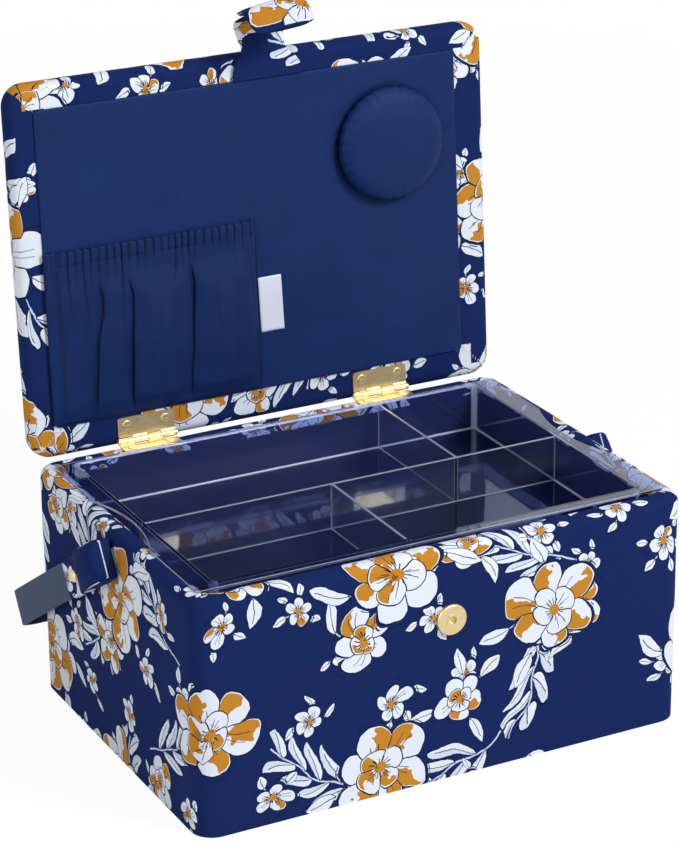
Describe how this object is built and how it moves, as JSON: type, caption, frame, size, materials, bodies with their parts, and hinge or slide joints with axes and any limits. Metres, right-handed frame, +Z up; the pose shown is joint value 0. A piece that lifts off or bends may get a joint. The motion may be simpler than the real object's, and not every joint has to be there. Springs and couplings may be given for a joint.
{
  "type": "sewing box",
  "caption": "Cloth-covered sewing box with a hinged padded lid, clear lift-out compartment tray, pincushion, inside pocket, snap closing strap and swinging carrying handle.",
  "frame": {"origin": "middle of the flat base that the box stands on", "axes": "+X to the right of the front, +Y to the back, +Z up; the lid is drawn open, past upright"},
  "size_m": [0.3486, 0.2767, 0.4197],
  "materials": {
    "printed_cloth": "matte",
    "navy_lining": "matte",
    "base_cloth": "matte",
    "label_cloth": "matte",
    "wadding": "matte",
    "board": "matte",
    "brass": "polished",
    "steel": "satin",
    "magnet": "matte",
    "elastic": "matte",
    "clear_plastic": "gloss",
    "leatherette": "satin"
  },
  "bodies": {
    "box": {"wall_front": "board", "wall_back": "board", "wall_left": "board", "wall_right": "board", "base_board": "board", "base_cover": "base_cloth", "floor_pad": "navy_lining", "rim_wadding": "wadding", "outer_cover": "printed_cloth", "inner_lining": "navy_lining", "front_snap_plate": "brass", "front_snap_magnet": "magnet", "front_snap_prongs": "steel", "front_snap_washer": "steel", "hinge_lower_leaf_left": "brass", "hinge_lower_leaf_right": "brass", "hinge_pin_left": "brass", "hinge_pin_right": "brass", "hinge_screws_lower": "brass", "handle_pivots": "steel", "pivot_washers": "steel"},
    "lid": {"hinge_upper_leaf_left": "brass", "hinge_upper_leaf_right": "brass", "hinge_screws_upper": "brass", "lid_board": "board", "lid_padding": "wadding", "lid_cover": "printed_cloth", "lid_lining_panel": "navy_lining", "accessory_pocket": "navy_lining", "pocket_elastic": "elastic", "label_tab": "label_cloth", "pincushion": "navy_lining", "strap_base": "printed_cloth"},
    "strap_root": {"strap_root": "printed_cloth"},
    "strap_tip": {"strap_tip": "printed_cloth", "strap_snap_disc": "brass", "strap_snap_washer": "steel"},
    "tray": {"tray": "clear_plastic"},
    "handle": {"handle_strap": "leatherette", "handle_tab_left": "printed_cloth", "handle_tab_right": "printed_cloth", "handle_rivets": "brass"}
  },
  "joints": [
    {"name": "lid_hinge", "type": "hinge", "parent": "box", "child": "lid", "pos_m": [0, 0.11435, 0.15225], "axis": [-1, 0, 0], "range_deg": [-93.6, 0]},
    {"name": "strap_edge_bend", "type": "hinge", "parent": "lid", "child": "strap_root", "pos_m": [0.005, 0.12915, 0.38513], "axis": [-1, 0, 0], "range_deg": [-50.5, 0]},
    {"name": "strap_fold_bend", "type": "hinge", "parent": "strap_root", "child": "strap_tip", "pos_m": [0.005, 0.11115, 0.41813], "axis": [1, 0, 0], "range_deg": [-80.6, 0]},
    {"name": "tray_lift", "type": "slide", "parent": "box", "child": "tray", "axis": [0, 0, 1], "range_m": [0, 0.15]},
    {"name": "handle_pivot", "type": "hinge", "parent": "box", "child": "handle", "pos_m": [0, 0, 0.13], "axis": [1, 0, 0], "range_deg": [-9, 65]}
  ]
}
